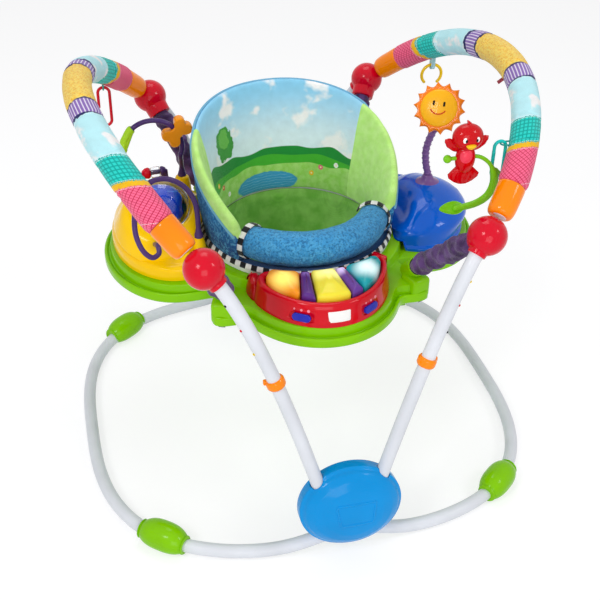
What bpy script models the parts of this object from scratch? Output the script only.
"""Baby activity jumper: ring base, V legs, padded toy arches, sprung toy tray and swivel seat.

Metres, +Z up, +X to the sitter's left, the front of the tray faces -Y.
Origin: on the floor, under the middle of the base ring.
"""
import bpy
import bmesh
from math import atan2, cos, pi, radians, sin, sqrt
from mathutils import Matrix, Vector

# Driving dimensions
GAP = 0.0003                # clearance kept between neighbouring pieces
BASE_TUBE_R = 0.0125        # 25 mm steel tube of the floor ring
LEG_TUBE_R = 0.012          # 24 mm steel tube of the legs
BASE_HALF_X = 0.430         # tube centre line, half width
BASE_HALF_Y = 0.410         # tube centre line, half depth
BASE_POWER = 2.9            # rounded square outline
BASE_Z = 0.0165             # tube centre above the floor
HUB_RISE = 0.030            # the ring climbs into each hub
HUB_RISE_WIDTH = 0.085
FOOT_ANGLE = radians(47.8)  # curve parameter of the feet
FOOT_HALF = (0.047, 0.028, 0.028)
FOOT_Z = 0.0235
HUB_CENTRE_Y = 0.407
HUB_CENTRE_Z = 0.110
HUB_HALF_W = 0.094
HUB_HALF_H = 0.082
HUB_TILT = radians(8.8)
LEG_LOW = Vector((0.047, 0.408, 0.122))
LEG_BOW = Vector((0.155, 0.382, 0.508))   # the legs bow outwards towards this point
BALL_CENTRE = Vector((0.232, 0.337, 0.589))
BALL_R = 0.033
NECK_OUT = 0.003
COLLAR_AT = 0.407           # curve parameter of the leg collar
COLLAR_R = 0.0165
COLLAR_LONG = 0.013
ARCH_R = 0.367              # radius of the toy arch in its own leaning plane
ARCH_SINK = 0.1448          # arch centre below the ball line, along the lean
ARCH_LEAN = radians(47.2)
FERRULE_FROM = radians(60.4)
PAD_FROM = radians(52.0)
PAD_R = 0.0245
PAD_BORE_R = 0.0150
FERRULE_R = 0.0228
SEAT_CENTRE = Vector((0.0, 0.01, 0.0))
SEAT_HOLE_R = 0.1745
COLLAR_DECK_R = 0.2000
DECK_Z = 0.412
SEAT_DECK_Z = 0.430
LIP_Z = 0.378
TRAY_WALL = 0.003
LOBE_CENTRE = (0.235, 0.055)
LOBE_HALF = (0.131, 0.172)
FRONT_CENTRE = (0.0, -0.130)
FRONT_HALF = (0.157, 0.178)
STRAP_FRONT = Vector((0.178, -0.180, 0.440))
STRAP_REAR = Vector((0.152, 0.214, 0.440))
BOSS_R = 0.031
STRAP_ANCHOR_R = 0.0125
STATION_CENTRE = (0.235, 0.065)
STATION_HALF = (0.112, 0.158)
STATION_CLEAR_R = 0.186     # stations and piano keep outside this circle round the seat
STATION_STEPS = 26
SEAT_TURN = radians(8)      # the swivel seat is stored turned a little, as photographed
BOLSTER_HALF_SPAN = radians(58)
BOLSTER_RING_R = 0.146      # centre line of the bolster, round the seat
BOLSTER_R = 0.0335
BOLSTER_TAPER = 0.004       # the ends are thinner by this
BOLSTER_Z = 0.476
WIRE_R = 0.0045
SLEEVE_R = 0.0155
SLEEVE_BORE_R = 0.0105
SPRING_R = 0.0075
SPRING_WIRE_R = 0.0012
SPRING_TURNS = 5

CORNERS = (("front_left", -1, -1), ("front_right", 1, -1), ("rear_left", -1, 1), ("rear_right", 1, 1))

for old in list(bpy.data.objects):
    bpy.data.objects.remove(old, do_unlink=True)


# Materials
MATERIALS = {
    "white_steel": ((0.86, 0.87, 0.88), 0.3, 0.0),
    "green_plastic": ((0.28, 0.62, 0.02), 0.3, 0.0),
    "blue_plastic": ((0.02, 0.42, 0.80), 0.25, 0.0),
    "deep_blue_plastic": ((0.01, 0.12, 0.62), 0.2, 0.0),
    "red_plastic": ((0.80, 0.01, 0.04), 0.2, 0.0),
    "orange_plastic": ((0.95, 0.35, 0.02), 0.3, 0.0),
    "yellow_plastic": ((0.95, 0.62, 0.02), 0.25, 0.0),
    "teal_plastic": ((0.05, 0.60, 0.60), 0.2, 0.0),
    "purple_plastic": ((0.20, 0.08, 0.30), 0.35, 0.0),
    "leaf_plastic": ((0.30, 0.60, 0.05), 0.35, 0.0),
    "clear_plastic": ((0.85, 0.92, 0.95), 0.1, 0.0),
    "arch_fabric": ((0.45, 0.75, 0.85), 0.9, 0.0),
    "purple_fabric": ((0.16, 0.08, 0.22), 0.9, 0.0),
    "seat_fabric": ((0.35, 0.65, 0.75), 0.9, 0.0),
    "denim_fabric": ((0.05, 0.30, 0.55), 0.9, 0.0),
    "spring_steel": ((0.6, 0.6, 0.62), 0.3, 1.0),
}


def material(name):
    """Principled material of that name, made on first use."""
    found = bpy.data.materials.get(name)
    if found:
        return found
    colour, rough, metallic = MATERIALS[name]
    made = bpy.data.materials.new(name)
    made.use_nodes = True
    shader = made.node_tree.nodes["Principled BSDF"]
    shader.inputs["Base Color"].default_value = (*colour, 1.0)
    shader.inputs["Roughness"].default_value = rough
    shader.inputs["Metallic"].default_value = metallic
    return made


# Mesh tools
def add_object(name, bm, finish):
    """Turn a bmesh into a named object with outward faces and soft shading."""
    bmesh.ops.remove_doubles(bm, verts=bm.verts, dist=1e-6)
    bmesh.ops.recalc_face_normals(bm, faces=bm.faces)
    mesh = bpy.data.meshes.new(name)
    bm.to_mesh(mesh)
    bm.free()
    mesh.shade_smooth()
    mesh.set_sharp_from_angle(angle=radians(35))
    obj = bpy.data.objects.new(name, mesh)
    bpy.context.scene.collection.objects.link(obj)
    if finish:
        mesh.materials.append(material(finish))
    return obj


def loft(name, rings, finish=None, closed=False):
    """Skin equal rings of points. One-point ends are poles; closed joins the last ring to the first."""
    bm = bmesh.new()
    loops = [[bm.verts.new(p) for p in ring] for ring in rings]
    pairs = list(zip(loops, loops[1:]))
    if closed:
        pairs.append((loops[-1], loops[0]))
    for low, high in pairs:
        count = max(len(low), len(high))
        for i in range(count):
            j = (i + 1) % count
            if len(low) == 1:
                bm.faces.new((low[0], high[j], high[i]))
            elif len(high) == 1:
                bm.faces.new((low[i], low[j], high[0]))
            else:
                bm.faces.new((low[i], low[j], high[j], high[i]))
    if not closed:
        for end in (loops[0], loops[-1]):
            if len(end) > 2:
                bm.faces.new(end)
    return add_object(name, bm, finish)


def frame_matrix(origin, axis):
    """Matrix whose local +Z runs along axis from origin."""
    turn = Vector(axis).normalized().to_track_quat("Z", "Y").to_matrix().to_4x4()
    return Matrix.Translation(Vector(origin)) @ turn


def lathe(name, origin, axis, profile, steps, finish=None):
    """Spin a (radius, height) profile round axis. Its ends are on the axis, or the profile is a loop."""
    bm = bmesh.new()
    verts = [bm.verts.new((radius, 0.0, height)) for radius, height in profile]
    edges = [bm.edges.new(pair) for pair in zip(verts, verts[1:]) if pair[0].co.x + pair[1].co.x > 0]
    if profile[0][0] > 0 and profile[-1][0] > 0:
        edges.append(bm.edges.new((verts[-1], verts[0])))
    bmesh.ops.spin(bm, geom=verts + edges, cent=(0, 0, 0), axis=(0, 0, 1), angle=2 * pi, steps=steps,
                   use_merge=True)
    bmesh.ops.remove_doubles(bm, verts=bm.verts, dist=1e-6)
    bmesh.ops.transform(bm, matrix=frame_matrix(origin, axis), verts=bm.verts)
    return add_object(name, bm, finish)


def rod(name, start, end, radius, steps=12, finish=None):
    """Plain round bar between two points."""
    start = Vector(start)
    along = Vector(end) - start
    profile = [(0, 0), (radius, 0), (radius, along.length), (0, along.length)]
    return lathe(name, start, along, profile, steps, finish)


def tube(name, points, radii, sides=2, finish=None, cyclic=False, twist="MINIMUM"):
    """Bevelled poly curve with filled caps, made a mesh. radii is one radius or one for each point."""
    if not hasattr(radii, "__len__"):
        radii = [radii] * len(points)
    curve = bpy.data.curves.new(name, "CURVE")
    curve.dimensions = "3D"
    curve.twist_mode = twist
    curve.bevel_depth = 1.0
    curve.bevel_resolution = sides
    curve.use_fill_caps = not cyclic
    spline = curve.splines.new("POLY")
    spline.points.add(len(points) - 1)
    for slot, point, radius in zip(spline.points, points, radii):
        slot.co = (*point, 1.0)
        slot.radius = radius
    spline.use_cyclic_u = cyclic
    holder = bpy.data.objects.new(name + "_curve", curve)
    bpy.context.scene.collection.objects.link(holder)
    bpy.context.view_layer.update()
    shape = bpy.data.meshes.new_from_object(holder.evaluated_get(bpy.context.evaluated_depsgraph_get()))
    bm = bmesh.new()
    bm.from_mesh(shape)
    bpy.data.objects.remove(holder, do_unlink=True)
    bpy.data.meshes.remove(shape)
    return add_object(name, bm, finish)


def combine(obj, other, operation):
    """Exact Boolean of obj with other, applied, and other removed."""
    modifier = obj.modifiers.new(operation.lower(), "BOOLEAN")
    modifier.object = other
    modifier.operation = operation
    modifier.solver = "EXACT"
    bpy.context.view_layer.update()
    result = bpy.data.meshes.new_from_object(obj.evaluated_get(bpy.context.evaluated_depsgraph_get()))
    obj.modifiers.clear()
    old = obj.data
    obj.data = result
    result.name = obj.name
    bpy.data.meshes.remove(old)
    bpy.data.objects.remove(other, do_unlink=True)
    return obj


def cut(obj, cutter):
    return combine(obj, cutter, "DIFFERENCE")


def fuse(obj, other):
    return combine(obj, other, "UNION")


def even(points, count):
    """The same path with count equal steps."""
    lengths = [0.0]
    for a, b in zip(points, points[1:]):
        lengths.append(lengths[-1] + (b - a).length)
    path = []
    for k in range(count + 1):
        wanted = lengths[-1] * k / count
        i = 0
        while i < len(points) - 2 and lengths[i + 1] < wanted:
            i += 1
        share = (wanted - lengths[i]) / (lengths[i + 1] - lengths[i])
        path.append(points[i].lerp(points[i + 1], min(1.0, share)))
    return path


def smooth_path(points, count):
    """Catmull-Rom curve through the points, resampled in count equal steps."""
    points = [Vector(p) for p in points]
    padded = [points[0] * 2 - points[1]] + points + [points[-1] * 2 - points[-2]]
    fine = []
    for a, b, c, d in zip(padded, padded[1:], padded[2:], padded[3:]):
        for k in range(12):
            t = k / 12
            fine.append(0.5 * (2 * b + (c - a) * t + (2 * a - 5 * b + 4 * c - d) * t ** 2
                               + (3 * b - a - 3 * c + d) * t ** 3))
    fine.append(points[-1])
    return even(fine, count)


def placed(vector, side_x, side_y):
    """The same place mirrored to a corner of the frame."""
    return Vector((vector[0] * side_x, vector[1] * side_y, vector[2]))


# Base ring: four bent steel tubes, four feet that join them
def base_point(t):
    def power(value):
        return abs(value) ** (2 / BASE_POWER) * (1 if value >= 0 else -1)
    x = BASE_HALF_X * power(cos(t))
    y = BASE_HALF_Y * power(sin(t))
    climb = HUB_RISE * 2.718281828 ** (-(x / HUB_RISE_WIDTH) ** 2) if abs(sin(t)) > 0.5 else 0.0
    return Vector((x, y, BASE_Z + climb))


def base_path(start, end, count):
    fine = [base_point(start + (end - start) * k / 600) for k in range(601)]
    return even(fine, count)


JOINT_SLACK = radians(0.4)
BASE_ARCS = {
    "base_tube_right": (-FOOT_ANGLE, FOOT_ANGLE, 12),
    "base_tube_rear": (FOOT_ANGLE, pi - FOOT_ANGLE, 16),
    "base_tube_left": (pi - FOOT_ANGLE, pi + FOOT_ANGLE, 12),
    "base_tube_front": (pi + FOOT_ANGLE, 2 * pi - FOOT_ANGLE, 16),
}
BASE_PATHS = {}
for tube_name, (start, end, count) in BASE_ARCS.items():
    BASE_PATHS[tube_name] = base_path(start + JOINT_SLACK, end - JOINT_SLACK, count)
    tube(tube_name, BASE_PATHS[tube_name], BASE_TUBE_R, 2, "white_steel", twist="Z_UP")


def base_bore(points, extra):
    return tube("ring_bore", points, BASE_TUBE_R + extra, 2, twist="Z_UP")


FOOT_TUBES = {
    "front_left": ("base_tube_left", "base_tube_front"),
    "front_right": ("base_tube_front", "base_tube_right"),
    "rear_left": ("base_tube_rear", "base_tube_left"),
    "rear_right": ("base_tube_right", "base_tube_rear"),
}
for place, side_x, side_y in CORNERS:
    angle = atan2(side_y * sin(FOOT_ANGLE), side_x * cos(FOOT_ANGLE))
    centre = base_point(angle)
    heading = base_point(angle + 0.02) - base_point(angle - 0.02)
    shape = bmesh.new()
    bmesh.ops.create_uvsphere(shape, u_segments=12, v_segments=8, radius=1.0)
    turn = Matrix.Rotation(atan2(heading.y, heading.x), 4, "Z") @ Matrix.Rotation(pi / 2, 4, "Y")
    stretch = Matrix.Diagonal((FOOT_HALF[2], FOOT_HALF[1], FOOT_HALF[0], 1.0))
    place_matrix = Matrix.Translation((centre.x, centre.y, FOOT_Z)) @ turn @ stretch
    bmesh.ops.transform(shape, matrix=place_matrix, verts=shape.verts)
    sliced = bmesh.ops.bisect_plane(shape, geom=shape.verts[:] + shape.edges[:] + shape.faces[:],
                                    plane_co=(0, 0, 0), plane_no=(0, 0, 1), clear_inner=True)
    rim = [item for item in sliced["geom_cut"] if isinstance(item, bmesh.types.BMEdge)]
    bmesh.ops.contextual_create(shape, geom=rim)
    foot = add_object("foot_" + place, shape, "green_plastic")
    before, after = FOOT_TUBES[place]
    cut(foot, base_bore(BASE_PATHS[before][-3:] + BASE_PATHS[after][:3], 2 * GAP))


# Hubs: two moulded shells clamp two legs and the ring tube
HUB_COVER = ((1.0, 0.0), (1.0, 0.012), (0.94, 0.0155), (0.89, 0.021), (0.76, 0.029), (0.40, 0.0355))
HUB_BACK = ((1.0, 0.0), (1.0, 0.009), (0.88, 0.018), (0.5, 0.024))
HUB_STEPS = 20


def hub_place(side_y, u, w, n):
    """Point of the hub from its own width u, height w and thickness n (positive away from the seat)."""
    up = Vector((0, -side_y * sin(HUB_TILT), cos(HUB_TILT)))
    out = Vector((0, side_y * cos(HUB_TILT), sin(HUB_TILT)))
    return Vector((0, side_y * HUB_CENTRE_Y, HUB_CENTRE_Z)) + Vector((u, 0, 0)) + up * w + out * n


def leg_point(t, side_x, side_y):
    """Place on the bowed centre line of a leg, from the hub at 0 to the ball joint at 1."""
    bend = LEG_LOW * (1 - t) ** 2 + LEG_BOW * (2 * t * (1 - t)) + BALL_CENTRE * t ** 2
    return placed(bend, side_x, side_y)


def hub_shell(name, side_y, profile, way, finish):
    rings = []
    for scale, depth in profile:
        spin = [2 * pi * k / HUB_STEPS for k in range(HUB_STEPS)]
        offset = way * (depth + GAP / 2)
        rings.append([hub_place(side_y, HUB_HALF_W * scale * cos(a), HUB_HALF_H * scale * sin(a), offset)
                      for a in spin])
    shell = loft(name, rings, finish)
    ring_name = "base_tube_front" if side_y < 0 else "base_tube_rear"
    cut(shell, base_bore([p for p in BASE_PATHS[ring_name] if abs(p.x) < 0.2], 2 * GAP))
    for side_x in (-1, 1):
        low = placed(LEG_LOW, side_x, side_y)
        along = (leg_point(0.2, side_x, side_y) - low).normalized()
        cut(shell, rod("leg_bore", low - along * 0.001, low + along * 0.15, LEG_TUBE_R + 3 * GAP, 12))
    return shell


for place, side_y in (("front", -1), ("rear", 1)):
    hub_shell(place + "_hub_cover", side_y, HUB_COVER, 1, "blue_plastic")
    hub_shell(place + "_hub_back", side_y, HUB_BACK, -1, "blue_plastic")


# Legs with their clip collars, and the ball joints on top
def arch_point(phi, side_x):
    rise = ARCH_R * cos(phi) - ARCH_SINK
    return Vector((side_x * (BALL_CENTRE.x + rise * cos(ARCH_LEAN)), ARCH_R * sin(phi),
                   BALL_CENTRE.z + rise * sin(ARCH_LEAN)))


def sleeve_ends(side_x, side_y):
    """Top, bottom and direction of a suspension strap, from the ball's strap neck to the tray boss."""
    ball = placed(BALL_CENTRE, side_x, side_y)
    foot = STRAP_FRONT if side_y < 0 else STRAP_REAR
    boss = Vector((side_x * foot.x, foot.y, foot.z))
    along = (boss - ball).normalized()
    return ball + along * (BALL_R + NECK_OUT + 2 * GAP), boss, along


END_SLACK = 0.0016          # tube ends stop this far from the ball joints' necks
LEG_LONG = (BALL_CENTRE - LEG_LOW).length
COLLAR_HALF = COLLAR_LONG / 2 / LEG_LONG
ARCH_FROM = radians(66.7) - (BALL_R + NECK_OUT + END_SLACK) / ARCH_R
for place, side_x, side_y in CORNERS:
    ball_at = placed(BALL_CENTRE, side_x, side_y)
    leg_end = 1.0
    while (leg_point(leg_end, side_x, side_y) - ball_at).length < BALL_R + NECK_OUT + END_SLACK:
        leg_end -= 0.0002
    stops = [(t, LEG_TUBE_R) for t in (0.0, 0.2, COLLAR_AT - COLLAR_HALF - 0.002)]
    stops += [(COLLAR_AT - COLLAR_HALF, COLLAR_R), (COLLAR_AT + COLLAR_HALF, COLLAR_R)]
    stops += [(t, LEG_TUBE_R) for t in (COLLAR_AT + COLLAR_HALF + 0.002, 0.6, 0.8, leg_end - 0.03, leg_end)]
    centre_line = [leg_point(t, side_x, side_y) for t, radius in stops]
    tube("leg_" + place, centre_line, [radius for t, radius in stops], 2, "white_steel")
    ball = bmesh.new()
    bmesh.ops.create_uvsphere(ball, u_segments=14, v_segments=8, radius=BALL_R,
                              matrix=Matrix.Translation(ball_at))
    ball = add_object("ball_joint_" + place, ball, "red_plastic")
    arch_way = arch_point(side_y * ARCH_FROM, side_x) - ball_at
    strap_way = sleeve_ends(side_x, side_y)[2]
    leg_way = leg_point(leg_end, side_x, side_y) - ball_at
    for way, neck_r in ((leg_way, 0.0155), (arch_way, 0.0165), (strap_way, 0.0165)):
        way = way.normalized()
        fuse(ball, rod("neck", ball_at + way * 0.015, ball_at + way * (BALL_R + NECK_OUT), neck_r, 8))


# Toy arches: a steel hoop with moulded end ferrules, in a padded fabric cover
def arc(phi_from, phi_to, side_x, count):
    return [arch_point(phi_from + (phi_to - phi_from) * k / count, side_x) for k in range(count + 1)]


TAB_WIRE_R = 0.0015
TAB_HALF_W = 0.007
LINK_WIRE_R = 0.0025
DOWN = Vector((0, 0, -1))
INWARD = Vector((-1, 0, 0))
# Sewn loops on the arch covers: arch angle, side, the way the loop points, its length past the cover
TABS = {
    "green_link": (radians(-38), 1, INWARD, 0.018),
    "yellow_ring": (radians(37), 1, DOWN, 0.022),
    "red_link": (radians(38), -1, DOWN, 0.014),
    "vine": (radians(-47), 1, Vector((-0.44, 0.76, -0.47)).normalized(), 0.010),
}


def tab_tip(key):
    phi, side_x, way, reach = TABS[key]
    return arch_point(phi, side_x) + way * (PAD_R + reach)


for side_name, side_x in (("left", -1), ("right", 1)):
    ends = [-ARCH_FROM, -FERRULE_FROM, -FERRULE_FROM + 0.001, -PAD_FROM - 0.0055, -PAD_FROM - 0.0048]
    inner = [-PAD_FROM + 2 * PAD_FROM * k / 16 for k in range(1, 16)]
    stops = ends + inner + [-phi for phi in reversed(ends)]
    end_radii = [0.0135, 0.0135, FERRULE_R, FERRULE_R, BASE_TUBE_R]
    radii = end_radii + [BASE_TUBE_R] * len(inner) + list(reversed(end_radii))
    tube("arch_tube_" + side_name, [arch_point(phi, side_x) for phi in stops], radii, 1, "white_steel")
    cover = tube("arch_cover_" + side_name, arc(-PAD_FROM, PAD_FROM, side_x, 16), PAD_R, 2, "arch_fabric")
    reach = PAD_FROM * 17 / 16
    bore = tube("cover_bore", arc(-reach, reach, side_x, 17), PAD_BORE_R, 2)
    cut(cover, bore)
    for key, (phi, tab_side, way, reach) in TABS.items():
        if tab_side != side_x:
            continue
        root = arch_point(phi, side_x) + way * (PAD_R - 0.006)
        tip = tab_tip(key)
        across = Vector((0, TAB_HALF_W, 0))
        bend = way * TAB_HALF_W
        loop = [root + across, tip - bend + across, tip - bend * 0.3 + across * 0.7, tip,
                tip - bend * 0.3 - across * 0.7, tip - bend - across, root - across]
        fuse(cover, tube("tab", loop, TAB_WIRE_R, 0))


# Suspension: a coil spring in a gathered fabric sleeve at each corner
for place, side_x, side_y in CORNERS:
    top, bottom, along = sleeve_ends(side_x, side_y)
    length = (bottom - top).length
    rows = 12
    ruffle = [SLEEVE_R + (0.0012 if k % 2 else -0.0012) for k in range(rows + 1)]
    stations = [top.lerp(bottom, k / rows) for k in range(rows + 1)]
    sleeve = tube("strap_sleeve_" + place, stations, ruffle, 1, "purple_fabric")
    cut(sleeve, rod("sleeve_bore", top - along * 0.01, bottom + along * 0.01, SLEEVE_BORE_R, 8))
    turn = frame_matrix(top, along)
    coil = []
    steps = 6 * SPRING_TURNS
    for k in range(steps + 1):
        spin = 2 * pi * k / 6
        height = length * (0.06 + 0.88 * k / steps)
        coil.append(turn @ Vector((SPRING_R * cos(spin), SPRING_R * sin(spin), height)))
    tube("spring_" + place, coil, SPRING_WIRE_R, 0, "spring_steel")


# Outlines seen from above, measured from the seat centre
def ellipse_reach(origin, angle, centre, half):
    """Far crossing of a ray with an ellipse, or 0 where the ray misses it."""
    dx, dy = cos(angle) / half[0], sin(angle) / half[1]
    ox, oy = (origin[0] - centre[0]) / half[0], (origin[1] - centre[1]) / half[1]
    a = dx * dx + dy * dy
    b = ox * dx + oy * dy
    c = ox * ox + oy * oy - 1
    inside = b * b - a * c
    return max(0.0, (-b + sqrt(inside)) / a) if inside > 0 else 0.0


TRAY_STEPS = 50


def tray_outline():
    """Reach of the tray's lip on each ray from the seat centre, with soft inner corners."""
    shapes = [(LOBE_CENTRE, LOBE_HALF), ((-LOBE_CENTRE[0], LOBE_CENTRE[1]), LOBE_HALF),
              (FRONT_CENTRE, FRONT_HALF), ((SEAT_CENTRE.x, SEAT_CENTRE.y), (0.212, 0.212))]
    for strap in (STRAP_FRONT, STRAP_REAR):
        for side_x in (-1, 1):
            shapes.append(((side_x * strap.x, strap.y), (BOSS_R, BOSS_R)))
    reach = []
    for k in range(TRAY_STEPS):
        angle = 2 * pi * k / TRAY_STEPS
        reach.append(max(ellipse_reach(SEAT_CENTRE, angle, *shape) for shape in shapes))
    return [0.25 * reach[k - 1] + 0.5 * reach[k] + 0.25 * reach[(k + 1) % TRAY_STEPS]
            for k in range(TRAY_STEPS)]


LIP = tray_outline()


def around_seat(reach, height, steps=TRAY_STEPS):
    """Ring of points at a reach, one number or one for each ray, round the seat centre."""
    if not hasattr(reach, "__len__"):
        reach = [reach] * steps
    turns = [2 * pi * k / steps for k in range(steps)]
    return [Vector((SEAT_CENTRE.x + r * cos(turn), SEAT_CENTRE.y + r * sin(turn), height))
            for r, turn in zip(reach, turns)]


def lip_ring(inset, height):
    return around_seat([r - inset for r in LIP], height)


TRAY_RINGS = [
    around_seat(SEAT_HOLE_R, SEAT_DECK_Z),
    around_seat(COLLAR_DECK_R, SEAT_DECK_Z),
    around_seat(COLLAR_DECK_R + 0.003, DECK_Z),
    lip_ring(0.010, DECK_Z),
    lip_ring(0.007, DECK_Z - 0.014),
    lip_ring(0.000, DECK_Z - 0.019),
    lip_ring(0.000, LIP_Z + 0.003),
    lip_ring(0.003, LIP_Z),
    lip_ring(0.003 + TRAY_WALL, LIP_Z),
    lip_ring(0.011, DECK_Z - 0.014),
    lip_ring(0.017, DECK_Z - TRAY_WALL),
    around_seat(COLLAR_DECK_R, DECK_Z - TRAY_WALL),
    around_seat(COLLAR_DECK_R - TRAY_WALL, SEAT_DECK_Z - TRAY_WALL),
    around_seat(SEAT_HOLE_R, SEAT_DECK_Z - TRAY_WALL),
]
tray = loft("tray", TRAY_RINGS, "green_plastic", closed=True)
for place, side_x, side_y in CORNERS:
    anchor_top, anchor_way = sleeve_ends(side_x, side_y)[1:]
    anchor = rod("strap_anchor", anchor_top + anchor_way * GAP, anchor_top + anchor_way * 0.046,
                 STRAP_ANCHOR_R, 8)
    fuse(tray, anchor)

# Seat: swivel ring in the tray's hole, fabric sling, padded bolster and backrest
lathe("seat_ring", SEAT_CENTRE, (0, 0, 1),
      [(0.156, 0.4405), (0.1795, 0.4405), (0.1795, SEAT_DECK_Z + GAP), (0.1725, SEAT_DECK_Z + GAP),
       (0.1725, 0.402), (0.1590, 0.402)], 36, "white_steel")

SLING = ((0.1550, 0.4385), (0.1535, 0.400), (0.138, 0.350), (0.112, 0.312), (0.070, 0.288), (0.030, 0.279))
SLING_WALL = 0.004
sling_outer = [around_seat(r, z, 18) for r, z in SLING] + [[Vector((SEAT_CENTRE.x, SEAT_CENTRE.y, 0.277))]]
sling_inner = [around_seat(r - SLING_WALL, z + SLING_WALL * (0 if k == 0 else 0.8), 18)
               for k, (r, z) in enumerate(SLING)]
sling_inner.append([Vector((SEAT_CENTRE.x, SEAT_CENTRE.y, 0.281))])


def cup(name, outer, inner, finish):
    """One closed skin: the outer wall from rim to pole and the inner wall back up."""
    bm = bmesh.new()

    def skin(rings, flip):
        loops = [[bm.verts.new(p) for p in ring] for ring in rings]
        for low, high in zip(loops, loops[1:]):
            for i in range(len(low)):
                j = (i + 1) % len(low)
                corners = (low[i], low[j], high[0])
                if len(high) > 1:
                    corners = (low[i], low[j], high[j], high[i])
                bm.faces.new(corners if flip else tuple(reversed(corners)))
        return loops[0]
    rim_out = skin(outer, True)
    rim_in = skin(inner, False)
    for i in range(len(rim_out)):
        j = (i + 1) % len(rim_out)
        bm.faces.new((rim_out[j], rim_out[i], rim_in[i], rim_in[j]))
    return add_object(name, bm, finish)


sling = cup("seat_sling", sling_outer, sling_inner, "seat_fabric")
seat_spin = Matrix.Rotation(SEAT_TURN, 3, "Z")
for side_x in (-1, 1):
    hole_at = SEAT_CENTRE + seat_spin @ Vector((side_x * 0.067, -0.045, 0.240))
    hole_to = SEAT_CENTRE + seat_spin @ Vector((side_x * 0.052, -0.030, 0.345))
    cut(sling, rod("leg_hole", hole_at, hole_to, 0.046, 14))


def seat_angle(from_back):
    """World angle of a place on the seat, counted from the middle of the backrest."""
    return pi / 2 + SEAT_TURN + from_back


def backrest_top(from_back):
    share = min(1.0, abs(from_back) / radians(130))
    return 0.505 + 0.157 * (1 - share ** 2.4)


BACK_HALF_SPAN = pi - BOLSTER_HALF_SPAN - radians(0.4)
BACK_STEPS = 20
rings = []
for k in range(BACK_STEPS + 1):
    turn = -BACK_HALF_SPAN + 2 * BACK_HALF_SPAN * k / BACK_STEPS
    top = backrest_top(turn)
    low = 0.4415
    span = top - low
    section = ((0.150, 0.0), (0.176, 0.0), (0.179, 0.12), (0.179 + 0.06 * span, 0.55),
               (0.180 + 0.08 * span, 0.93), (0.172 + 0.08 * span, 1.0), (0.164 + 0.08 * span, 0.95),
               (0.154 + 0.05 * span, 0.5), (0.149, 0.12))
    away = Vector((cos(seat_angle(turn)), sin(seat_angle(turn)), 0))
    rings.append([SEAT_CENTRE + away * r + Vector((0, 0, low + span * share)) for r, share in section])
loft("backrest", rings, "seat_fabric")

bolster_path = []
for k in range(13):
    angle = seat_angle(pi - BOLSTER_HALF_SPAN + 2 * BOLSTER_HALF_SPAN * k / 12)
    away = Vector((cos(angle), sin(angle), 0))
    bolster_path.append(SEAT_CENTRE + away * BOLSTER_RING_R + Vector((0, 0, BOLSTER_Z)))
bolster_r = [BOLSTER_R - BOLSTER_TAPER * abs(k / 6 - 1) ** 3 for k in range(13)]
tube("front_bolster", bolster_path, bolster_r, 2, "denim_fabric")

# Piano toy: crescent body on the front lobe, five light-up keys, two slide switches
PIANO_HALF = (0.134, 0.164)
PIANO_END = radians(41)
PIANO_RIM_Z = 0.453
PIANO_FLOOR_Z = 0.440
FACE_LEAN = 0.018           # the front face leans back by this at the rim


def piano_front(angle):
    return ellipse_reach(SEAT_CENTRE, -pi / 2 + angle, FRONT_CENTRE, PIANO_HALF)


def sector(low_r, front_inset, start, end, steps):
    """Closed outline from an arc round the seat to the piano's front; angles from straight ahead."""
    turns = [start + (end - start) * k / steps for k in range(steps + 1)]
    outer = [(piano_front(t) - front_inset, t) for t in turns]
    return outer + [(low_r, t) for t in reversed(turns)]


def raised(outline, height):
    return [Vector((SEAT_CENTRE.x + reach * sin(turn), SEAT_CENTRE.y - reach * cos(turn), height))
            for reach, turn in outline]


def crescent(front, back, height):
    trim = (0.5 * front + back) / 0.2
    return raised(sector(STATION_CLEAR_R + back, front, -PIANO_END + trim, PIANO_END - trim, 14), height)


def collar_cutter():
    """Room for the tray's raised seat collar under a toy that overlaps it."""
    low = SEAT_CENTRE + Vector((0, 0, 0.400))
    high = SEAT_CENTRE + Vector((0, 0, SEAT_DECK_Z + GAP))
    return rod("collar_room", low, high, COLLAR_DECK_R + 0.0036, 48)


piano = loft("piano_body", [
    crescent(0.0, 0.0, DECK_Z + GAP), crescent(0.001, 0.0, 0.418),
    crescent(FACE_LEAN - 0.003, 0.001, 0.449), crescent(FACE_LEAN, 0.003, PIANO_RIM_Z),
    crescent(FACE_LEAN + 0.004, 0.007, PIANO_RIM_Z),
    crescent(FACE_LEAN + 0.0045, 0.0075, PIANO_FLOOR_Z)], "red_plastic")
cut(piano, collar_cutter())
KEYS = (("key_orange", -31.5, -12.3, "orange_plastic", 0.0),
        ("key_purple_left", -11.8, -6.8, "purple_plastic", -0.002),
        ("key_yellow", -6.3, 6.3, "yellow_plastic", 0.0),
        ("key_purple_right", 6.8, 11.8, "purple_plastic", -0.002),
        ("key_teal", 12.3, 31.5, "teal_plastic", 0.0))
KEY_REAR_R = 0.1945         # distance of the keys' rear edge from the seat centre
for key_name, start, end, finish, lower in KEYS:
    steps = 6 if end - start > 6 else 2
    layers = []
    for inset, height in ((0.0, PIANO_FLOOR_Z + 0.0045), (0.0, 0.4590), (0.003, 0.4635), (0.008, 0.4660)):
        trim = inset / 0.235
        front_inset = FACE_LEAN + 0.006 + inset
        outline = sector(KEY_REAR_R + inset, front_inset, radians(start) + trim, radians(end) - trim, steps)
        layers.append(raised(outline, height + lower * (height > 0.45)))
    loft(key_name, layers, finish)

SWITCHES = (("volume_switch", radians(-12)), ("mode_switch", radians(15)))
SWITCH_HALF_LONG = 0.0135
SWITCH_HALF_HIGH = 0.0055
SWITCH_TRAVEL = 0.004
SWITCH_Z = 0.4280


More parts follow.
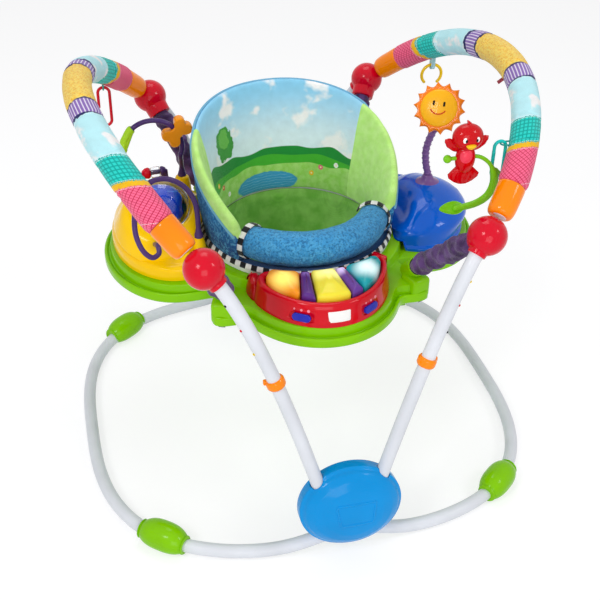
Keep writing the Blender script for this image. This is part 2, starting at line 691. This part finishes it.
def pill(name, middle, tangent, normal, half_long, half_high, low, high, finish=None):
    """Round-ended bar standing on a face: tangent along it, normal out of it, from depth low to high."""
    up = normal.cross(tangent)
    layers = []
    for depth in (low, high):
        layer = []
        for side, centre_turn in ((1, -pi / 2), (-1, pi / 2)):
            for k in range(6):
                turn = centre_turn + pi * k / 5
                sideways = side * (half_long - half_high) + half_high * cos(turn)
                layer.append(middle + tangent * sideways + up * half_high * sin(turn) + normal * depth)
        layers.append(layer)
    return loft(name, layers, finish)


def face_point(turn, height):
    """Place on the piano's leaning front face."""
    lean = 0.001 + (FACE_LEAN - 0.004) * (height - 0.418) / 0.031
    return raised([(piano_front(turn) - lean, turn)], height)[0]


for switch_name, turn in SWITCHES:
    here = face_point(turn, SWITCH_Z)
    tangent = (face_point(turn + 0.04, SWITCH_Z) - face_point(turn - 0.04, SWITCH_Z)).normalized()
    uphill = (face_point(turn, SWITCH_Z + 0.005) - here).normalized()
    normal = tangent.cross(uphill).normalized()
    slot = pill("switch_slot", here, tangent, normal, SWITCH_HALF_LONG + SWITCH_TRAVEL + 0.001,
                SWITCH_HALF_HIGH + 0.0008, -0.0042, 0.006)
    cut(piano, slot)
    pill(switch_name, here, tangent, normal, SWITCH_HALF_LONG, SWITCH_HALF_HIGH, -0.0036, 0.0020,
         "deep_blue_plastic")


# Side stations: moulded housings on the tray's lobes, open below
def station_ring(middle, scale, height, clear, inset=0.0):
    """Outline of a station on rays from its middle, clear of the seat and lifted over the tray's collar."""
    away = Vector((middle.x - SEAT_CENTRE.x, middle.y - SEAT_CENTRE.y))
    points = []
    for k in range(STATION_STEPS):
        ray = Vector((cos(2 * pi * k / STATION_STEPS), sin(2 * pi * k / STATION_STEPS)))
        reach = ellipse_reach((0, 0), 2 * pi * k / STATION_STEPS, (0, 0), STATION_HALF) * scale - inset
        b = away.dot(ray)
        inside = b * b - (away.length_squared - clear ** 2)
        if inside > 0 > b:
            reach = min(reach, -b - sqrt(inside))
        points.append(Vector((middle.x + reach * ray.x, middle.y + reach * ray.y, height)))
    over = [(point.xy - SEAT_CENTRE.xy).length < COLLAR_DECK_R + 0.006 for point in points]
    for k, point in enumerate(points):
        if over[k - 1] or over[k] or over[(k + 1) % STATION_STEPS]:
            point.z = max(point.z, SEAT_DECK_Z + GAP)
    return points


# Yellow station: stepped plate, humped body and a ledge for the leaning window dome
DOME_AT = Vector((-0.256, 0.016, 0.501))
DOME_WAY = Vector((0.0, -0.42, 0.9)).normalized()
DOME_R = 0.047
LEDGE_R = 0.0515
DRUM_HOLE_R = 0.040
WALL = 0.003
# Level: outline scale, height, slope to the back, shift of the centre in x and y, radius kept off the seat
YELLOW_LEVELS = ((1.0, DECK_Z + GAP, 0.0, 0.0, 0.0, 0.186), (1.0, 0.4320, 0.0, 0.0, 0.0, 0.186),
                 (0.965, 0.4365, 0.0, 0.0, 0.0, 0.189), (0.85, 0.4390, 0.0, -0.003, -0.010, 0.2000),
                 (0.80, 0.4680, 0.10, -0.005, -0.018, 0.1995), (0.73, 0.4900, 0.20, -0.007, -0.022, 0.1990),
                 (0.64, 0.5020, 0.28, -0.009, -0.026, 0.1985))


def yellow_ring(level, inset=0.0, drop=0.0):
    scale, height, slope, shift_x, shift_y, clear = level
    middle = Vector((-STATION_CENTRE[0] + shift_x, STATION_CENTRE[1] + shift_y, 0))
    points = []
    for point in station_ring(middle, scale, height - drop, clear + inset, inset):
        point.z += slope * (point.y - middle.y)
        points.append(point)
    return points


def window_ring(radius, height):
    """Circle in the leaning plane of the window, its points matched to the outline's."""
    across = Vector((1, 0, 0))
    along = DOME_WAY.cross(across)
    return [DOME_AT + DOME_WAY * height + across * radius * cos(2 * pi * k / STATION_STEPS)
            + along * radius * sin(2 * pi * k / STATION_STEPS) for k in range(STATION_STEPS)]


WINDOW_STEPS = ((LEDGE_R, 0.001), (0.0492, 0.001), (0.0488, -0.003), (DRUM_HOLE_R, -0.003),
                (DRUM_HOLE_R, -0.007), (LEDGE_R - 0.002, -0.007))
yellow_rings = [yellow_ring(level) for level in YELLOW_LEVELS]
yellow_rings += [window_ring(radius, height) for radius, height in WINDOW_STEPS]
yellow_rings += [yellow_ring(level, WALL, WALL if level[1] > 0.45 else 0.0)
                 for level in reversed(YELLOW_LEVELS) if level[1] != 0.4365]
yellow = loft("yellow_station", yellow_rings, "yellow_plastic", closed=True)

# Window: clear dome on the ledge, over a spinning fluted drum
DOME_LEVELS = (0, 24, 48, 70)
DOME_WALL = 0.002


def dome_arc(radius):
    return [(radius * cos(radians(a)), 0.001 + radius * sin(radians(a))) for a in DOME_LEVELS]


dome_profile = [(0.0484, -0.0026)] + dome_arc(DOME_R) + [(0, 0.001 + DOME_R)]
dome_profile += [(0, DOME_R + 0.001 - DOME_WALL)] + dome_arc(DOME_R - DOME_WALL)[::-1] + [(0.0450, -0.0026)]
lathe("clear_dome", DOME_AT, DOME_WAY, dome_profile, 20, "clear_plastic")
DRUM_R = 0.034
drum_profile = [(0, -0.044), (0.004, -0.044), (0.004, -0.026), (0.016, -0.024), (0.029, -0.012),
                (DRUM_R, 0.002), (0.030, 0.018), (0.016, 0.031), (0, 0.034)]
spinner = lathe("spinner", DOME_AT, DOME_WAY, drum_profile, 16, "deep_blue_plastic")
for k in range(3):
    spin = frame_matrix(DOME_AT, DOME_WAY) @ Matrix.Rotation(2 * pi * k / 3, 4, "Z")
    start = spin @ Vector((DRUM_R + 0.004, 0, -0.03))
    end = spin @ Vector((DRUM_R + 0.004, 0, 0.04))
    cut(spinner, rod("flute", start, end, 0.010, 8))

# Bead wires: two bent tubes on the yellow station
WIRE_PLANE_Y = 0.140
WIRE_CENTRE = Vector((-0.252, WIRE_PLANE_Y, 0.568))
WIRE_BEND_R = 0.056
REAR_POST = Vector((-0.193, 0.158, 0.472))
REAR_LEFT_FOOT = Vector((-0.282, 0.120, 0.497))
FRONT_POST = Vector((-0.1975, -0.045, 0.462))
FRONT_LOOP_FOOT = Vector((-0.272, -0.040, 0.461))


def bend_point(degrees):
    turn = radians(degrees)
    return WIRE_CENTRE + Vector((WIRE_BEND_R * cos(turn), 0, WIRE_BEND_R * sin(turn)))


rear_wire_path = ([REAR_POST, REAR_POST + Vector((0, -0.001, 0.030)), bend_point(-22)]
                  + [bend_point(a) for a in range(-10, 200, 15)]
                  + [Vector((-0.300, 0.136, 0.530)), REAR_LEFT_FOOT])
front_wire_points = [FRONT_POST, (-0.198, -0.046, 0.488), (-0.201, -0.047, 0.537), (-0.224, -0.050, 0.581),
                     (-0.262, -0.055, 0.592), (-0.296, -0.074, 0.566), (-0.306, -0.094, 0.525),
                     (-0.303, -0.110, 0.488), (-0.290, -0.114, 0.468), (-0.276, -0.104, 0.466),
                     (-0.272, -0.075, 0.465), FRONT_LOOP_FOOT]
wire_specs = (("bead_wire_rear", rear_wire_path), ("bead_wire_front", smooth_path(front_wire_points, 26)))
for post in (REAR_POST, FRONT_POST):
    fuse(yellow, lathe("post", post - Vector((0, 0, 0.030)), (0, 0, 1),
                       [(0, 0), (0.0125, 0), (0.0105, 0.026), (0.0095, 0.040), (0, 0.040)], 10))
for wire_name, path in wire_specs:
    for end, nearby in ((path[0], path[1]), (path[-1], path[-2])):
        end = Vector(end)
        way = (Vector(nearby) - end).normalized()
        cut(yellow, rod("wire_socket", end - way * 0.001, end + way * 0.045, WIRE_R + 2 * GAP, 10))
    tube(wire_name, path, WIRE_R, 1, "purple_plastic")


# Beads on the rear wire: a bone and a twisted leaf-green one
def bead(name, degrees, sections, steps, finish):
    """Bead threaded on the bend: sections are (distance along in degrees, half width, half depth)."""
    layers = []
    for offset, wide, deep in sections:
        turn = radians(degrees + offset)
        centre = bend_point(degrees + offset)
        radial = Vector((cos(turn), 0, sin(turn)))
        layers.append([centre + radial * wide * cos(2 * pi * k / steps)
                       + Vector((0, deep * sin(2 * pi * k / steps), 0)) for k in range(steps)])
    shape = loft(name, layers, finish)
    reach = sections[-1][0] + 12
    bore = [bend_point(degrees - reach + 2 * reach * k / 8) for k in range(9)]
    return cut(shape, tube("bead_bore", bore, WIRE_R + 0.0020, 1))


BONE = [(-22, 0.011, 0.009), (-18, 0.0165, 0.011), (-12, 0.016, 0.011), (-7, 0.0105, 0.0095),
        (7, 0.0105, 0.0095), (12, 0.016, 0.011), (18, 0.0165, 0.011), (22, 0.011, 0.009)]
TWIST = [(-17, 0.0085, 0.0085), (-13, 0.0105, 0.0105), (0, 0.0095, 0.0095), (13, 0.0105, 0.0105),
         (17, 0.0085, 0.0085)]
bead("bead_bone", 32, BONE, 12, "orange_plastic")
bead("bead_twist", 157, TWIST, 10, "leaf_plastic")

# Blue station with the flared stalk seat on top
BLUE_LEVELS = ((1.0, DECK_Z + GAP), (1.0, 0.4340), (0.965, 0.4480), (0.87, 0.4630), (0.70, 0.4760),
               (0.46, 0.4860), (0.20, 0.4915))
blue_middle = Vector((STATION_CENTRE[0], STATION_CENTRE[1], 0))


def blue_skin(inset):
    rings = []
    for scale, height in BLUE_LEVELS:
        drop = inset if height > 0.44 else 0.0
        rings.append(station_ring(blue_middle, scale, height - drop,
                                  STATION_CLEAR_R + inset + 0.4 * (height - DECK_Z), inset))
    return rings + [[Vector((blue_middle.x, blue_middle.y, 0.4930 - inset))]]


blue = cup("blue_station", blue_skin(0.0), blue_skin(WALL), "deep_blue_plastic")
STALK_FOOT = Vector((0.272, 0.040, 0.5065))
seat_profile = [(0, 0), (0.026, 0), (0.024, 0.012), (0.017, 0.017), (0.011, 0.024), (0.0085, 0.0278),
                (0, 0.0278)]
fuse(blue, lathe("stalk_seat", STALK_FOOT - Vector((0, 0, 0.028)), (0, 0, 1), seat_profile, 18))

# Sun toy: ribbed bendy stalk with a petalled head
SUN_AT = Vector((0.272, 0.014, 0.656))
SUN_WAY = Vector((-0.12, -0.86, 0.50)).normalized()
SUN_R = 0.050
stalk_end = Vector((0.272, 0.022, 0.616))
stalk_path = smooth_path([STALK_FOOT, (0.266, 0.040, 0.530), (0.262, 0.036, 0.560), (0.265, 0.030, 0.588),
                          stalk_end], 18)
stalk_radii = [0.0078 if k % 2 else 0.0064 for k in range(19)]
stalk_radii[0] = 0.0030     # narrow foot, so that the stalk can sway on its seat
stalk_path[0] = STALK_FOOT + Vector((0, 0, 0.0012))
tube("sun_stalk", stalk_path, stalk_radii, 1, "purple_plastic")
sun_turn = frame_matrix(SUN_AT, SUN_WAY)
PETALS = 11


def sun_ring(height, scale, wave):
    ring = []
    for k in range(3 * PETALS):
        spin = 2 * pi * k / (3 * PETALS)
        reach = SUN_R * scale * (1 + wave * (cos(PETALS * spin) - 1) / 2)
        ring.append(sun_turn @ Vector((reach * cos(spin), reach * sin(spin), height)))
    return ring


PETAL_WAVE = 0.26
PETAL_LEVELS = ((-0.005, 0.94), (0.0, 1.0), (0.005, 0.92))
sun_rings = [[sun_turn @ Vector((0, 0, -0.009))], sun_ring(-0.008, 0.55, 0.0)]
sun_rings += [sun_ring(height, scale, PETAL_WAVE) for height, scale in PETAL_LEVELS]
sun_rings += [sun_ring(0.006, 0.60, 0.0), sun_ring(0.011, 0.50, 0.0), [sun_turn @ Vector((0, 0, 0.0135))]]
sun = loft("sun_head", sun_rings, "orange_plastic")
head_way = (SUN_AT - stalk_end).normalized()
cut(sun, rod("head_socket", stalk_end - head_way * 0.02, stalk_end + head_way * 0.0005, 0.0095, 12))


# Hanging toys: links in the sewn loops, a vine with a perched bird
def stadium(top, wide, long, count=8):
    """Closed link path in the XZ plane, its upper bend centred under top."""
    half = wide / 2
    upper = top - Vector((0, 0, half))
    lower = top - Vector((0, 0, long - half))
    bend = [Vector((half * cos(pi * k / count), 0, half * sin(pi * k / count))) for k in range(count + 1)]
    return [upper + point for point in bend] + [lower - point for point in bend]


HANG_GAP = TAB_WIRE_R + LINK_WIRE_R + 0.0006
green_top = tab_tip("green_link") + Vector((0, 0, HANG_GAP))
red_top = tab_tip("red_link") + Vector((0, 0, HANG_GAP))
ring_top = tab_tip("yellow_ring") + Vector((0, 0, HANG_GAP + 0.0006))
GREEN_LONG = 0.066
tube("green_link", stadium(green_top, 0.020, GREEN_LONG), LINK_WIRE_R, 1, "teal_plastic", cyclic=True)
tube("red_link", stadium(red_top, 0.022, 0.078), LINK_WIRE_R, 1, "red_plastic", cyclic=True)
RING_R = 0.021
ring_centre = ring_top - Vector((0, 0, RING_R))
ring_turns = [radians(a) for a in range(-50, 226, 15)]
c_ring = [ring_centre + Vector((RING_R * cos(a), 0, RING_R * sin(a))) for a in ring_turns]
tube("yellow_ring", c_ring, 0.0031, 1, "yellow_plastic")

VINE_Y = -0.240
VINE_BENDS = ((0.190, 0.684), (0.218, 0.684), (0.245, 0.683), (0.266, 0.668), (0.277, 0.645),
              (0.277, 0.624), (0.268, 0.606), (0.250, 0.595), (0.226, 0.590), (0.200, 0.590))
vine_path = smooth_path([(x, VINE_Y, z) for x, z in VINE_BENDS], 20)
vine_r = [0.0032] * 9 + [0.0046, 0.0056, 0.0056, 0.0050, 0.0045, 0.0040, 0.0038, 0.0050, 0.0090, 0.0105,
                         0.0070, 0.0020]
vine = tube("vine", vine_path, vine_r, 1, "leaf_plastic")
fuse(vine, rod("vine_arm", tab_tip("vine") + TABS["vine"][2] * 0.0055, vine_path[9], 0.0034, 6))
end_ball = bmesh.new()
bmesh.ops.create_uvsphere(end_ball, u_segments=8, v_segments=6, radius=0.007,
                          matrix=Matrix.Translation(vine_path[0]))
fuse(vine, add_object("vine_ball", end_ball, None))

# Bird: round head, plump belly, two stub wings and a fan tail, threaded on the perch
BIRD_AT = Vector((0.221, VINE_Y, 0.684))


def blob(name, centre, half, segments, rings_count):
    bm = bmesh.new()
    bmesh.ops.create_uvsphere(bm, u_segments=segments, v_segments=rings_count, radius=1.0)
    stretch = Matrix.Diagonal((*half, 1.0))
    bmesh.ops.transform(bm, matrix=Matrix.Translation(centre) @ stretch, verts=bm.verts)
    return add_object(name, bm, "red_plastic")


bird = blob("bird", BIRD_AT + Vector((0, 0, -0.002)), (0.0195, 0.0140, 0.0270), 10, 8)
fuse(bird, blob("bird_head", BIRD_AT + Vector((0, -0.001, 0.035)), (0.0215, 0.0165, 0.0185), 12, 8))
for side_x in (-1, 1):
    wing_at = BIRD_AT + Vector((side_x * 0.024, 0.002, 0.0200))
    fuse(bird, blob("bird_wing", wing_at, (0.014, 0.0050, 0.0115), 8, 4))
TAIL_LEVELS = ((0.010, -0.016), (0.027, -0.032), (0.024, -0.041), (0.010, -0.048))
tail_corners = ((-1, -0.005), (1, -0.005), (1, 0.007), (-1, 0.007))
tail_rings = [[BIRD_AT + Vector((x * wide, y, z)) for x, y in tail_corners] for wide, z in TAIL_LEVELS]
fuse(bird, loft("bird_tail", tail_rings))
cut(bird, rod("perch_bore", BIRD_AT - Vector((0.05, 0, 0)), BIRD_AT + Vector((0.05, 0, 0)), 0.0055, 10))
